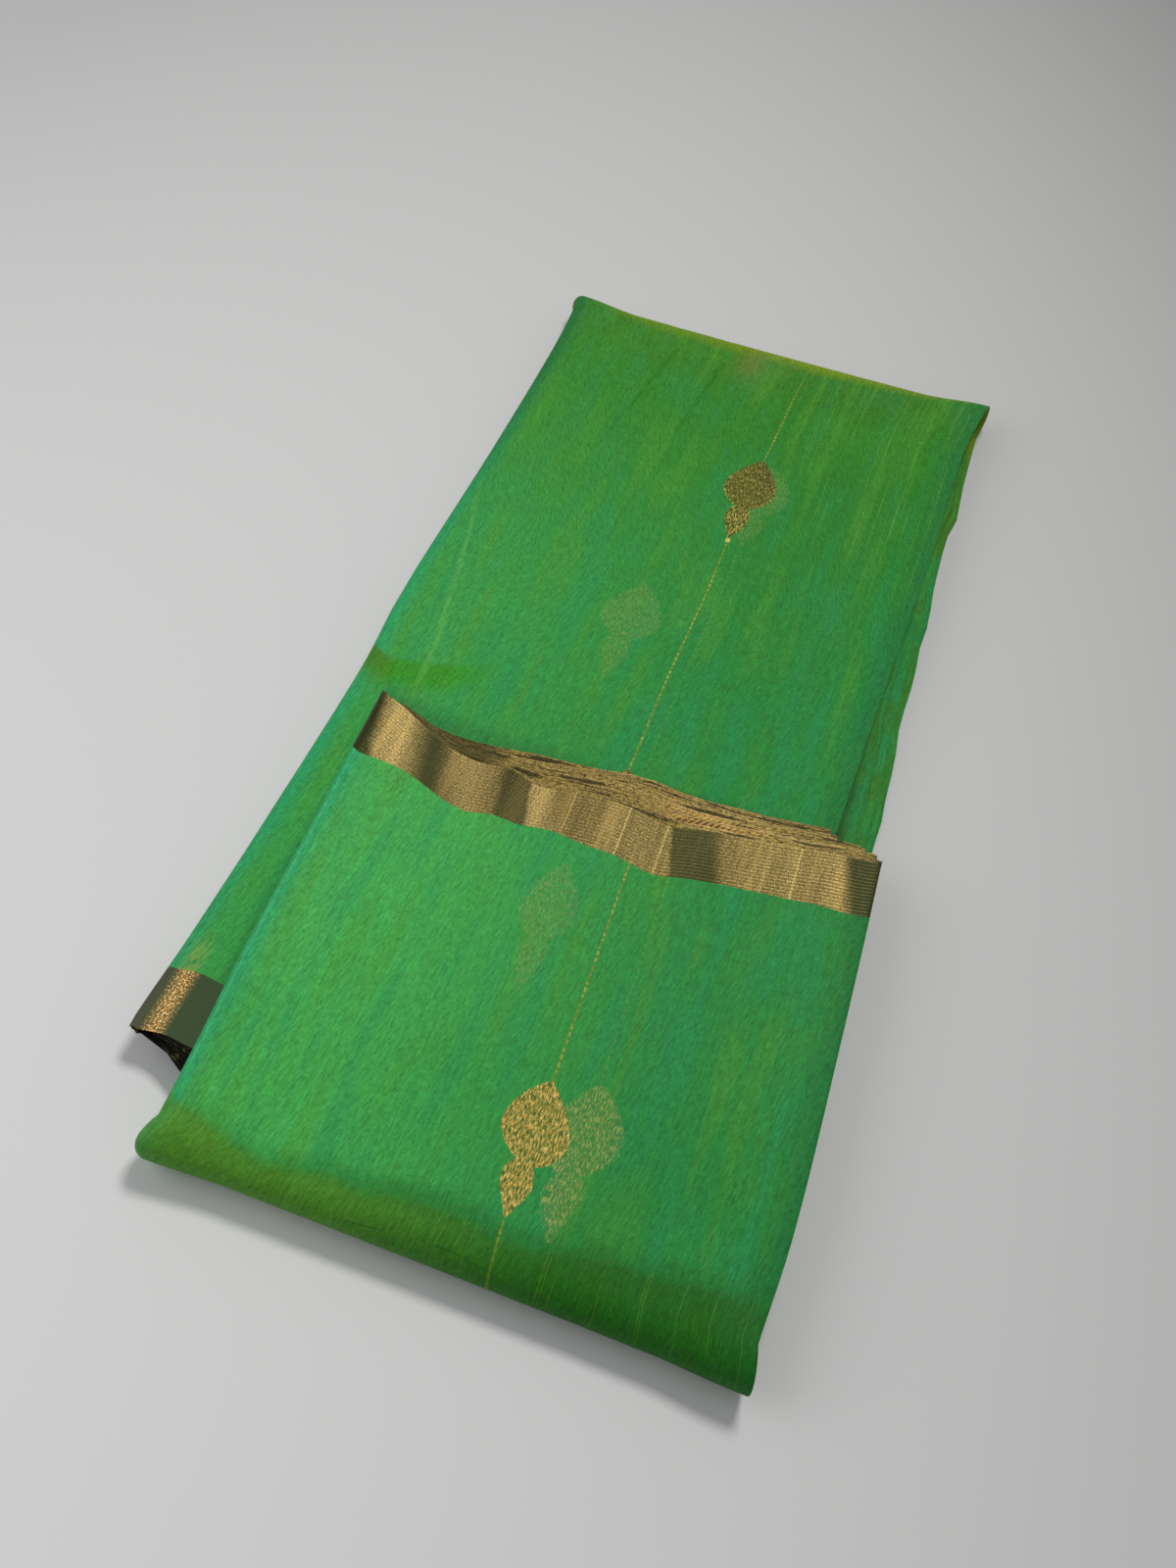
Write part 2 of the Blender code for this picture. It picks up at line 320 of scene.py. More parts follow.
def depth_of(layer):
    return PITCH * layer + TOP_GAP * min(layer, 1)


def bundle_section():
    """Columns: depth, left inset, right inset, share, bulge, layer."""
    lefts, rights = layer_insets()
    last = LAYERS - 1
    rows = []

    def run(layer, left, right, steps, to_right):
        shares = np.linspace(0, 1, steps + 1)
        for share in shares if to_right else shares[::-1]:
            rows.append((depth_of(layer), left, right, share, 0.0, layer))

    def turn(first, second, left, right, share, reach, steps):
        for i in range(1, steps):
            angle = math.pi * i / steps
            depth = mix(depth_of(first), depth_of(second), 0.5 - 0.5 * math.cos(angle))
            layer = mix(first, second, i / steps)
            rows.append((depth, left, right, share, reach * math.sin(angle), layer))

    for layer in range(last - 1, 0, -1):
        to_right = layer % 2 == 1
        steps = NEXT_LAYER_STEPS if layer < 3 else LAYER_STEPS
        run(layer, lefts[layer], rights[layer], steps, to_right)
        if to_right:
            turn(layer, layer - 1, lefts[layer], rights[layer], 1.0, TURN_BULGE * PITCH, TURN_STEPS)
        else:
            turn(layer, layer - 1, lefts[layer], rights[layer], 0.0, -TURN_BULGE * PITCH, TURN_STEPS)
    outer_start = len(rows)
    run(0, WRAP_REACH, 0.0, OUTER_STEPS, False)
    outer_end = len(rows)
    turn(0, last, WRAP_REACH, 0.0, 0.0, -WRAP_REACH, WRAP_STEPS)
    run(last, WRAP_REACH, rights[last], LAYER_STEPS, True)
    return np.array(rows).T, outer_start, outer_end


def squeeze(x, y, ply):
    side = np.abs(x) / HALF_WIDTH
    puff = SIDE_PUFF * smooth((side - PUFF_START) / PUFF_RUN)
    share = 1.0 - MIDDLE_DIP * (1.0 - side ** 2) + puff
    if ply == "inner":
        share = share - END_TAPER * smooth((INNER_END_Y + END_TAPER_RUN - y) / END_TAPER_RUN)
    if ply == "flap":
        end = read_table(FLAP_ENDS, x, "outer")
        near_end = smooth((y - end + END_TAPER_RUN) / END_TAPER_RUN)
        share = share - (END_TAPER + puff) * near_end
        corner = smooth((x + CORNER_LIFT_WIDTH) / (CORNER_LIFT_WIDTH - HALF_WIDTH))
        share = share + CORNER_LIFT * corner * smooth((y - end + CORNER_LIFT_RUN) / CORNER_LIFT_RUN)
    return np.maximum(LEAST_SQUEEZE, share)


def crease_height(x, y, ply):
    """What the listed troughs and ridges add to a ply's upper side."""
    height = np.zeros(np.broadcast(x, y).shape)
    for crease in CREASES:
        if crease.ply != ply:
            continue
        dx, dy = crease.x1 - crease.x0, crease.y1 - crease.y0
        length = math.hypot(dx, dy)
        along = ((x - crease.x0) * dx + (y - crease.y0) * dy) / length
        off = ((x - crease.x0) * dy - (y - crease.y0) * dx) / length
        rise = smooth((along + CREASE_RISE / 2) / CREASE_RISE)
        ends = rise * smooth((length - along + CREASE_PAST) / CREASE_FADE)
        height += crease.height * np.exp(-((off / crease.width) ** 2)) * ends
    return height


def base_height(x, y, depth):
    return LIFT + depth * squeeze(x, y, "base")


def inner_floor(x, y):
    floor = LIFT + STACK * squeeze(x, y, "base") + PLY_GAP
    overhang = smooth((DROOP_X - x) / DROOP_WIDTH) * smooth((DROOP_Y - y) / DROOP_RUN)
    return floor - INNER_DROOP * overhang


def inner_height(x, y, depth):
    inside = depth / STACK
    height = inner_floor(x, y) + (STACK - depth) * squeeze(x, y, "inner")
    pinch = PINCH * smooth((PINCH_X - x) / PINCH_WIDTH) * smooth((PINCH_Y - y) / PINCH_RUN)
    return height + (1.0 - inside) * crease_height(x, y, "inner") + inside * pinch


def flap_height(x, y, depth):
    on_fold = LIFT + STACK * squeeze(x, y, "base") + NEAR_FOLD_HOLLOW
    on_ply = inner_floor(x, y) + STACK * squeeze(x, y, "inner") + PLY_GAP
    climb = smooth((y - NEAR_FOLD_Y) / CLIMB_RUN)
    floor = mix(on_fold, on_ply, climb)
    side = read_table(SIDES["inner"], y, "right")
    floor = floor - FLAP_SAG * smooth((x - side + FLAP_SAG_START) / FLAP_SAG_WIDTH) * climb
    top = 1.0 - depth / STACK
    return floor + (STACK - depth) * squeeze(x, y, "flap") + top * crease_height(x, y, "flap")


HEIGHTS = {"inner": inner_height, "base": base_height, "flap": flap_height}


def across_x(section, left, right, narrowing=1.0):
    left_inset, right_inset, share, bulge = section[1:5]
    start = left + left_inset
    end = right - right_inset * narrowing
    return mix(start, end, share) + bulge


def slant_of(y):
    share = (y - NEAR_FOLD_Y) / (FAR_FOLD_Y - NEAR_FOLD_Y)
    return mix(math.tan(NEAR_FOLD_SLANT), math.tan(FAR_FOLD_SLANT), share)


def waves(x, layer, count, seed):
    """A slow unevenness along each layer's end, different for every layer."""
    source = np.random.default_rng(seed)
    table = source.uniform(-1, 1, (LAYERS + 1, count, 2))
    low = np.clip(layer.astype(int), 0, LAYERS - 1)
    found = np.zeros(np.broadcast(x, layer).shape)
    for k in range(count):
        turns = 9.0 + 17.0 * k
        start = 6.3 * table[low, k, 1]
        wave = np.sin(x * turns * 2 * math.pi / 1.1 + start)
        found = found + table[low, k, 0] * wave / (k + 1)
    return found


def inner_ply_end(section):
    """Where each layer ends at the inner end: the deeper it lies, the further it sticks out."""
    inside = section[0] / STACK
    from_left = section[1] + ROUGH_WIDTH * section[3]
    end = INNER_END_Y - INNER_END_STAGGER * inside * smooth((from_left - STAGGER_START) / STAGGER_RUN)
    end = end + INNER_END_NOTCH * np.exp(-(((from_left - NOTCH_PLACE) / NOTCH_WIDTH) ** 2))
    uneven = waves(section[3] * ROUGH_WIDTH, section[5], 3, 3)
    return end + INNER_END_WAVES * uneven * smooth(inside * WAVES_RISE)


def flap_ply_end(section, share):
    """Where each layer of the flap ends: in groups, drawn back one behind the other."""
    layer = section[5]
    sides = SIDES["flap"]
    rough = mix(NEAR_FOLD_Y, sides[-1].y, share)
    x = across_x(section, read_table(sides, rough, "left"), read_table(sides, rough, "right"))
    outer, innermost = (read_table(FLAP_ENDS, x, name) for name in ("outer", "innermost"))
    group = np.clip((layer - 1) / GROUP, 0, len(GROUP_SPREADS) - 1).astype(int)
    spread = np.array(GROUP_SPREADS)[group] + LAYER_SPREAD * ((layer - 1) % GROUP)
    spread = np.where(layer < 0.5, 0.0, spread)
    end = mix(outer, innermost, spread) + GROUP_WAVES * waves(x, group + 1, 3, 5) * (layer > 0.5)
    return end + LAYER_WAVES * waves(x, layer, 2, 9) + RIPPLE * np.sin(x * RIPPLE_TURNS)


def point_on_ply(section, ply, share):
    depth = section[0]
    if ply == "inner":
        y = mix(inner_ply_end(section), FAR_FOLD_Y, share)
    elif ply == "base":
        y = mix(FAR_FOLD_Y, NEAR_FOLD_Y, share) * np.ones_like(depth)
    else:
        y = mix(NEAR_FOLD_Y, flap_ply_end(section, share), share)
    left = read_table(SIDES[ply], y, "left")
    right = read_table(SIDES[ply], y, "right")
    narrowing = 1.0 + FLAP_NARROWING * share ** 2 if ply == "flap" else 1.0
    x = across_x(section, left, right, narrowing)
    slant = slant_of(y)
    if ply == "flap":
        slant = slant * (1.0 - smooth(share))
    return x, y - x * slant, HEIGHTS[ply](x, y, depth)


def point_on_fold(section, share, upper_ply, y, outward):
    angle = math.pi * (share - 0.5)
    sides = [mix(read_table(SIDES["base"], y, name), read_table(SIDES[upper_ply], y, name),
                 0.5 + 0.5 * math.sin(angle)) for name in ("left", "right")]
    swell = math.cos(angle) ** FLARE_POWER
    flares = FAR_FLARES if outward > 0 else NEAR_FLARES
    x = across_x(section, sides[0] - flares[0] * swell, sides[1] + flares[1] * swell)
    low = base_height(x, y, section[0])
    high = HEIGHTS[upper_ply](x, y, section[0])
    reach = FOLD_REACH * (high - low) / 2 * math.cos(angle)
    z = (low + high) / 2 + (high - low) / 2 * math.sin(angle)
    return x, y + outward * reach - x * slant_of(y), z


def place(section, part, share):
    if part == "far_fold":
        return point_on_fold(section, 1.0 - share, "inner", FAR_FOLD_Y, 1.0)
    if part == "near_fold":
        return point_on_fold(section, share, "flap", NEAR_FOLD_Y, -1.0)
    return point_on_ply(section, part, share)


def path_stations():
    stations = [("inner", 0.0)]
    for part, steps in PARTS:
        for i in range(1, steps + 1):
            share = i / steps
            if part == "inner":
                share = mix(share, share ** 2, CROWDING)
            if part == "flap":
                share = mix(share, 1 - (1 - share) ** 2, CROWDING)
            stations.append((part, share))
    return stations


def cloth_grid():
    """Points, the cloth's own coordinates and the grid's layout."""
    section, outer_start, outer_end = bundle_section()
    stations = path_stations()
    grid = np.array([np.array(place(section, part, share)).T for part, share in stations])
    steps = np.linalg.norm(np.diff(grid, axis=0), axis=2)
    along = np.vstack([np.zeros(grid.shape[1]), np.cumsum(steps, axis=0)])
    v = along / along[-1] * CLOTH_WIDTH
    widths = mix(-SPREAD_HALF_WIDTH, SPREAD_HALF_WIDTH, section[3]) + section[4]
    hop = np.hypot(np.diff(widths), np.diff(section[0]))
    u = np.concatenate([[0.0], np.cumsum(hop)])
    middle = (outer_start + outer_end - 1) // 2
    u = u[middle] - u  # to the right of the outer layer is positive
    return grid, u, v, section, stations, outer_start, outer_end


def own_map(section, v, outer_start, outer_end):
    """A map with most of its room on the layer that shows."""
    columns = section.shape[1]
    at = np.arange(columns)
    x = np.zeros(columns)
    outer = (at >= outer_start) & (at < outer_end)
    start, room = OUTER_ROOM
    x[outer] = start + room * (at[outer] - outer_start) / (outer_end - 1 - outer_start)
    after = at >= outer_end
    start, room = WRAP_ROOM
    x[after] = start + room * (at[after] - outer_end + 1) / (columns - outer_end)
    used = np.interp(v, [stop.v for stop in MAP_STOPS], [stop.used for stop in MAP_STOPS])
    y = MAP_MARGIN + (1.0 - 2 * MAP_MARGIN) * used
    start, room = INNER_ROOM
    inner = start + room * (outer_start - at) / outer_start
    return x, y, np.clip(inner, start, start + room)


def add_map(mesh, name, u, v):
    """One of the mesh's maps, from its coordinates at the faces' corners."""
    found = mesh.uv_layers.new(name=name)
    found.uv.foreach_set("vector", np.stack([u, v], 1).astype(np.float32).ravel())


def part_ends(places, stations):
    """Where each part of the path begins and ends along the cloth's width."""
    ends = {}
    for at, (part, _) in zip(places, stations):
        ends[part] = (ends.get(part, (at,))[0], at)
    return ends


def cloth_mesh():
    grid, u, v, section, stations, outer_start, outer_end = cloth_grid()
    rows, columns = grid.shape[:2]
    index = np.arange(rows * columns).reshape(rows, columns)
    quads = np.stack([index[:-1, :-1], index[:-1, 1:], index[1:, 1:], index[1:, :-1]], axis=2)
    quads = quads.reshape(-1, 4)
    mesh = bpy.data.meshes.new("sari")
    mesh.from_pydata(grid.reshape(-1, 3).tolist(), [], quads.tolist())
    mesh.update()
    corner = np.zeros(len(mesh.loops), dtype=np.int32)
    mesh.loops.foreach_get("vertex_index", corner)
    row, column = corner // columns, corner % columns
    add_map(mesh, "cloth", u[column], v[row, column])
    on_top = (column >= outer_start) & (column < outer_end + WRAP_STEPS - 1)
    add_map(mesh, "where", section[3][column], np.where(on_top, 0.0, section[5][column] / LAYERS))
    x, y, inner = own_map(section, v, outer_start, outer_end)
    face_first = np.repeat(quads[:, 0] % columns, 4)
    x = np.where(face_first < outer_start, inner[column], x[column])
    add_map(mesh, "OFBake", x, y[row, column])
    mesh.uv_layers.active = mesh.uv_layers["cloth"]
    mesh.shade_smooth()
    middle = (outer_start + outer_end - 1) // 2
    return mesh, part_ends(v[:, middle], stations)


class Value:
    """A socket of a node tree, with Python's operators."""

    def __init__(self, tree, socket):
        self.tree, self.socket = tree, socket

    def node(self, kind, settings=(), output=0, **inputs):
        return add_node(self.tree, kind, settings, output, **inputs)

    def math(self, operation, *values):
        values = {f"input_{i}": value for i, value in enumerate(values)}
        return self.node("ShaderNodeMath", {"operation": operation}, **values)

    def __add__(self, other):
        return self.math("ADD", self, other)

    def __radd__(self, other):
        return self.math("ADD", other, self)

    def __sub__(self, other):
        return self.math("SUBTRACT", self, other)

    def __rsub__(self, other):
        return self.math("SUBTRACT", other, self)

    def __mul__(self, other):
        return self.math("MULTIPLY", self, other)

    def __rmul__(self, other):
        return self.math("MULTIPLY", other, self)

    def __truediv__(self, other):
        return self.math("DIVIDE", self, other)

    def __neg__(self):
        return self.math("MULTIPLY", self, -1.0)

    def __abs__(self):
        return self.math("ABSOLUTE", self)

    def __pow__(self, other):
        return self.math("POWER", self, other)

    def __gt__(self, other):
        return self.math("GREATER_THAN", self, other)

    def __lt__(self, other):
        return self.math("LESS_THAN", self, other)

    def at_least(self, other):
        return self.math("MAXIMUM", self, other)

    def at_most(self, other):
        return self.math("MINIMUM", self, other)

    def floor(self):
        return self.math("FLOOR", self)

    def fraction(self):
        return self.math("FRACT", self)

    def sine(self):
        return self.math("SINE", self)

    def step(self, low, high, start=0.0, end=1.0):
        """start below low, end above high, and a soft step between. low may be above high."""
        if low > high:
            low, high, start, end = high, low, end, start
        settings = {"interpolation_type": "SMOOTHSTEP", "clamp": True}
        return self.node(
            "ShaderNodeMapRange", settings,
            Value=self, From_Min=low, From_Max=high, To_Min=start, To_Max=end,
        )

    def bump_at(self, centre, width):
        """A soft hill of height 1."""
        return abs(self - centre).step(width, 0.0)


def add_node(tree, kind, settings=(), output=0, **inputs):
    node = tree.nodes.new(kind)
    for name, value in dict(settings).items():
        setattr(node, name, value)
    for name, value in inputs.items():
        if name.startswith("input_"):
            socket = node.inputs[int(name[6:])]
        else:
            socket = node.inputs[name.replace("_", " ")]
        if isinstance(value, Value):
            tree.links.new(value.socket, socket)
        else:
            socket.default_value = value
    return Value(tree, node.outputs[output])


def colour_mix(tree, factor, first, second, blend="MIX"):
    settings = {"data_type": "RGBA", "blend_type": blend}
    return add_node(tree, "ShaderNodeMix", settings, 2, input_0=factor, input_6=first, input_7=second)


def linear(red, green, blue, gain=1.25):
    """A display colour of 0 to 255 each, as the linear one that a shader takes."""
    found = []
    for part in (red, green, blue):
        part = part / 255
        found.append(gain * (part / 12.92 if part <= 0.04045 else ((part + 0.055) / 1.055) ** 2.4))
    return (*found, 1.0)


def noise(tree, x, y, detail, rough=0.5, seed=0.0):
    place = add_node(tree, "ShaderNodeCombineXYZ", X=x, Y=y, Z=seed)
    return add_node(
        tree, "ShaderNodeTexNoise", {"noise_dimensions": "3D"}, 0,
        Vector=place, Scale=1.0, Detail=detail, Roughness=rough,
    )


def hashed(tree, value):
    return add_node(tree, "ShaderNodeTexWhiteNoise", {"noise_dimensions": "1D"}, 0, W=value)


def leaf(a, b):
    """How far inside the motif a point is: over 0 within. b runs down from 0 at its tip."""
    t = (b / -LEAF_BODY).at_least(0.0).at_most(1.0)
    body = ((t ** 1.4) * math.pi).sine().at_least(0.0) ** 0.58 * LEAF_HALF_WIDTH
    s = ((b + LOBE_START) / -LOBE).at_least(0.0).at_most(1.0)
    lobe = ((s ** 0.85) * math.pi).sine().at_least(0.0) ** 1.5 * LOBE_HALF_WIDTH
    return body.at_least(lobe) - abs(a)


def next_tip(v, tips):
    """The first tip at or above v along the cloth."""
    found = tips[0]
    for low, high in zip(tips, tips[1:]):
        found = (v > low) * (high - low) + found
    return found


def metal_strokes(tree, a, v, seed, light, dark):
    """How light and how dark the short, uneven stitches of metal thread are."""
    stitch = noise(tree, a * STITCHES[0], v * STITCHES[1], 2.0, 0.7, seed)
    return stitch.step(*light), stitch.step(*dark)


def ply_tones(tree, v, across, toward_far):
    """The flap's and the inner ply's greens, lighter on the left, olive towards the far fold."""
    to_right = across.step(0.05, 0.80)
    flap = colour_mix(tree, to_right, linear(65, 162, 75), linear(37, 126, 54))
    ply = colour_mix(tree, to_right, linear(54, 144, 65), linear(30, 122, 48))
    ply_far = colour_mix(tree, to_right, linear(47, 121, 36), linear(40, 112, 25))
    ply = colour_mix(tree, toward_far, ply, ply_far)
    ply = colour_mix(tree, v.step(0.395, 0.450) * 0.40, ply, linear(62, 100, 10))
    return colour_mix(tree, v.step(*FLAP_GROUND), ply, flap)


def add_clouds(tree, ground, toward_far, broad, clouds):
    """Cooler and warmer places, some soft and some in long streaks."""
    ground = colour_mix(tree, clouds.step(0.50, 0.68) * 0.16, ground, linear(30, 132, 80))
    ground = colour_mix(tree, clouds.step(0.48, 0.30) * 0.20, ground, linear(64, 138, 40))
    cool = broad.step(0.50, 0.68) * (0.36 - toward_far * 0.24)
    ground = colour_mix(tree, cool, ground, linear(26, 126, 76))
    return colour_mix(tree, broad.step(0.48, 0.32) * 0.30, ground, linear(74, 144, 42))


def ground_colour(tree, v, across, is_outer, folds, broad, clouds):
    """The shot ground: two greens, clouded, olive at the folds with painted shade where the near fold rolls
    under, and cooler at the edges.
    """
    near0, near1 = folds["near_fold"]
    far0, far1 = folds["far_fold"]
    toward_far = v.step(0.20, 0.42) * v.step(*FLAP_GROUND, 1.0, 0.0)
    ground = ply_tones(tree, v, across, toward_far)
    ground = add_clouds(tree, ground, toward_far, broad, clouds)

    past_fold = v - near1 + (clouds - 0.5) * 0.003 - across.step(0.12, 0.40) * 0.0068
    at_near = (v - near0).step(-0.012, 0.004) * past_fold.step(0.0012, -0.0042)
    at_far = (v - far0).step(-0.0080, 0.002) * (v - far1).step(0.02, 0.0)
    olive = colour_mix(tree, across.step(0.15, 0.75), linear(76, 128, 28), linear(27, 86, 0))
    ground = colour_mix(tree, at_near * 0.85, ground, olive)
    ground = colour_mix(tree, at_far * across.step(0.20, 0.50, 0.60, 0.92), ground, linear(108, 130, 14))
    # Painted shade: a darker green band where the near fold begins to roll under
    fold_shade = past_fold.bump_at(0.0, 0.0075) * across.step(0.0, 0.4, 0.20, 0.60)
    ground = colour_mix(tree, fold_shade, ground, linear(30, 104, 34))

    on_base = v.step(far0, far1) * v.step(near0, near0 - 0.01)
    left_edge = (across.step(0.045, 0.0) * 0.35).at_least(across.step(0.012, 0.002) * 0.8)
    right_edge = (across + (clouds - 0.5) * 0.03).step(0.935, 0.992) * is_outer * (1.0 - on_base)
    edge = (left_edge + right_edge * 0.8) * (1.0 - at_near * 0.7) * (1.0 - at_far * 0.6)
    left_tone = colour_mix(tree, toward_far, linear(40, 150, 96), linear(28, 100, 54))
    edge_tone = colour_mix(tree, across.step(0.4, 0.6), left_tone, linear(20, 100, 46))
    ground = colour_mix(tree, edge * 0.85, ground, edge_tone)
    return ground, at_near, at_far, toward_far


def add_marks(tree, ground, u, v, is_outer, clouds):
    """Marks in single places, painted shade and a painted lit edge among them."""
    # A painted shadow band, olive and darker, in a hollow on the inner ply's left side, where the flap's
    # corner lifts
    from_left = u + 0.0980
    top = from_left.at_least(0.0) * 0.52 + (-from_left).at_least(0.0) * 0.60 + 0.1832
    down = top - v + (clouds - 0.5) * 0.006
    hollow_shade = down.step(-0.001, 0.0025) * down.step(0.021, 0.008) * u.step(-0.050, -0.074)
    olive = colour_mix(tree, u.step(-0.102, -0.092), linear(66, 118, 18), linear(48, 134, 14))
    ground = colour_mix(tree, hollow_shade * 0.85, ground, olive)
    # A pulled thread that curves away from it
    along = ((v - 0.190) / 0.0640).at_least(0.0)
    pulled = abs(u + 0.0829 + along ** 1.5 * 0.0103).step(0.0020, 0.0002)
    pulled = pulled * v.step(0.172, 0.182) * v.step(0.31, 0.25)
    ground = colour_mix(tree, pulled * 0.34, ground, linear(104, 172, 80))
    # A smear at the far fold, and painted shade along two troughs that run down from the fold
    smear = (u + 0.0125).bump_at(0.0, 0.012) * (v - 0.435).bump_at(0.0, 0.022)
    ground = colour_mix(tree, smear * 0.50, ground, linear(108, 106, 36))
    first = (u + 0.0540 + (0.4063 - v) * 0.17).bump_at(0.0, 0.0016) * v.step(0.345, 0.375)
    second = (u + 0.0276 + (0.4063 - v) * 0.10).bump_at(0.0, 0.0016) * v.step(0.365, 0.385)
    trough_shade = first.at_least(second) * v.step(0.435, 0.425) * is_outer
    ground = colour_mix(tree, trough_shade * 0.30, ground, linear(26, 84, 24))
    # The shade beside the flap's left side, and that side's lit edge
    shadow = (u + 0.0838 + v * 0.035).step(-0.0060, -0.0010) * v.step(0.175, 0.165)
    ground = colour_mix(tree, shadow * 0.38, ground, linear(20, 84, 40))
    on_flap = v.step(0.972, 0.990)
    lit = (u + 0.1064).bump_at(0.0, 0.0009) * on_flap
    return colour_mix(tree, lit * 0.20, ground, linear(110, 206, 166))


def add_threads(tree, ground, u, v, across, at_near, at_far, toward_far):
    """Single light threads, most of them at the folds, and a few dark ones across them."""
    place = u * LIGHT_THREADS
    column = place.floor()
    rare = (hashed(tree, column) > 0.84) * abs(place.fraction() - 0.5).step(0.5, 0.2)
    length = noise(tree, column * 7.7, v * 22.0, 0.0).step(0.46, 0.60)
    at_far = at_far * across.step(0.35, 0.6)
    amount = at_far.at_least(at_near * 0.30)
    amount = amount.at_least(toward_far * across.step(0.45, 0.75) * 0.50).at_least(0.06)
    ground = colour_mix(tree, rare * length * amount * 0.7, ground, linear(118, 160, 46))
    row = (v * DARK_THREADS).floor()
    dark = (hashed(tree, row + 0.5) > 0.93) * noise(tree, row * 3.3, u * 60.0, 0.0).step(0.60, 0.66)
    return colour_mix(tree, dark * (at_near * 0.5).at_least(0.10), ground, linear(30, 84, 26))


def line_place(v):
    """Where the gold line runs across the cloth. Its curve comes from how the cloth lies."""
    at_fold = (0.992 - v).at_least(0.0) * 0.10
    on_flap = (1.1253 - v) * 0.0125 + at_fold + 0.0116
    on_ply = (v - 0.335).bump_at(0.0, 0.07) * -0.0022 + 0.0158
    return v.step(*FLAP_BEGINS) * (on_flap - on_ply) + on_ply


def add_gold_line(tree, ground, a, v, at_near, keep):
    """The thin dashed line that joins the motifs."""
    uneven = hashed(tree, (v * (DASHES / 4)).floor()) * 0.5
    dash = ((v * DASHES + uneven).fraction() < 0.62) * keep
    number = hashed(tree, (v * DASHES).floor())
    tone = colour_mix(tree, number, linear(96, 124, 30), linear(172, 168, 66))
    faded = v.step(0.440, 0.375).at_least(v.step(*FLAP_BEGINS))
    thin = abs(a).step(0.00054, 0.00028) * (faded * 0.65 + 0.35)
    ground = colour_mix(tree, thin * keep * 0.55, ground, linear(92, 122, 22))
    ground = colour_mix(tree, thin * dash * (1.0 - at_near * 0.6) * 0.80, ground, tone)
    on_ply = v.step(0.31, 0.30)
    beside = abs(a - 0.0062).step(0.0007, 0.0003) * on_ply
    beside = beside.at_least(abs(a - 0.0160).step(0.0007, 0.0003) * v.step(1.033, 1.04))
    beside = beside * ((v * 300.0).fraction() < 0.5)
    return colour_mix(tree, beside * keep * 0.14, ground, linear(140, 160, 62))


def add_motifs(tree, ground, a, v, is_outer):
    """The leaves on the line, worked in metal thread: bright on the flap, bronze on the inner ply."""
    b = v - next_tip(v, LEAF_TIPS)
    b = b * v.step(*FLAP_BEGINS, 0.875, 1.0)
    ragged = (noise(tree, a * 1150.0, v * 400.0, 1.0) - 0.5) * 0.0016
    inside = leaf(a, b) + ragged
    motif = inside.step(0.0, 0.0003) * (b < 0.0) * is_outer
    light, dark = metal_strokes(tree, a, v, 0.0, (0.49, 0.60), (0.46, 0.38))
    ring = ((a / 0.0045) ** 2.0 + ((b + 0.0175) / 0.0085) ** 2.0) ** 0.5
    vein = abs(ring - 1.0).step(0.22, 0.05)
    bright = colour_mix(tree, light * (1.0 - vein * 0.5), linear(120, 120, 48), linear(202, 176, 96))
    bright = colour_mix(tree, dark * 0.9, bright, linear(42, 86, 28))
    amber = noise(tree, a * 500.0, v * 260.0, 0.0, 0.5, 61.0).step(0.52, 0.66) * light
    bright = colour_mix(tree, amber * 0.6, bright, linear(212, 158, 66))

    rim = inside.step(0.0022, 0.0006) * b.step(-0.010, -0.020)
    lobe = b.step(-0.029, -0.033)
    upper_right = b.step(-0.022, -0.004) * a.step(-0.004, 0.008)
    bronze = colour_mix(tree, upper_right, linear(72, 76, 12), linear(60, 50, 6))
    bronze = colour_mix(tree, light * (rim.at_least(lobe) * 0.40 + 0.45), bronze, linear(184, 170, 88))
    bronze = colour_mix(tree, dark * 0.7, bronze, linear(34, 60, 4))
    bead = (a ** 2.0 + (b + BEAD) ** 2.0).step(0.0000022, 0.0000012) * (v < 0.40)
    bronze = colour_mix(tree, bead * 0.8, bronze, linear(190, 184, 84))
    motif = motif.at_least(bead * is_outer)
    tone = colour_mix(tree, v.step(0.47, 0.46), bright, bronze)
    return colour_mix(tree, motif, ground, tone), motif, light


def add_ghosts(tree, ground, a, v, motif, is_outer, clouds):
    """The motifs of the layer below, seen through the sheer cloth."""
    across, strength = GHOSTS[0].across, GHOSTS[0].strength
    for low, high in zip(GHOSTS, GHOSTS[1:]):
        above = v > low.tip
        across = above * (high.across - low.across) + across
        strength = above * (high.strength - low.strength) + strength
    b = v - next_tip(v, [ghost.tip for ghost in GHOSTS])
    a = (a - across) * v.step(1.05, 1.06, 1.0, 1.24)
    light, dark = metal_strokes(tree, a, v, 50.0, (0.46, 0.62), (0.46, 0.36))
    ragged = (light - dark) * 0.0008
    veil = (leaf(a, b * 0.90) + ragged).step(-0.0014, 0.0014) * (b < 0.001) * (b > -GHOST_LENGTH)
    veil = veil * is_outer * (1.0 - motif)
    strength = strength * ((clouds - 0.5) * 1.2 + 0.92)
    tone = colour_mix(tree, light, linear(76, 118, 56), linear(164, 168, 92))
    tone = colour_mix(tree, dark * 0.6, tone, linear(70, 122, 58))
    return colour_mix(tree, veil * (light * 0.3 + 0.7) * strength, ground, tone)


def metal_ground(tree, u, v, rib, fine, painted_glints):
    """The border's metal threads: ribs, bars and painted glints."""
    bars = noise(tree, u * 230.0, v * 12.0, 1.0, 0.6, 43.0)
    metal = colour_mix(tree, fine.step(0.36, 0.64), linear(66, 58, 26), linear(140, 120, 68))
    metal = colour_mix(tree, painted_glints * 0.75, metal, linear(206, 182, 120))
    metal = colour_mix(tree, rib.step(0.30, 0.90) * 0.35, metal, linear(68, 60, 30))
    metal = colour_mix(tree, bars.step(0.54, 0.68) * 0.26, metal, linear(176, 148, 84))
    return colour_mix(tree, bars.step(0.45, 0.33) * 0.34, metal, linear(78, 66, 32))


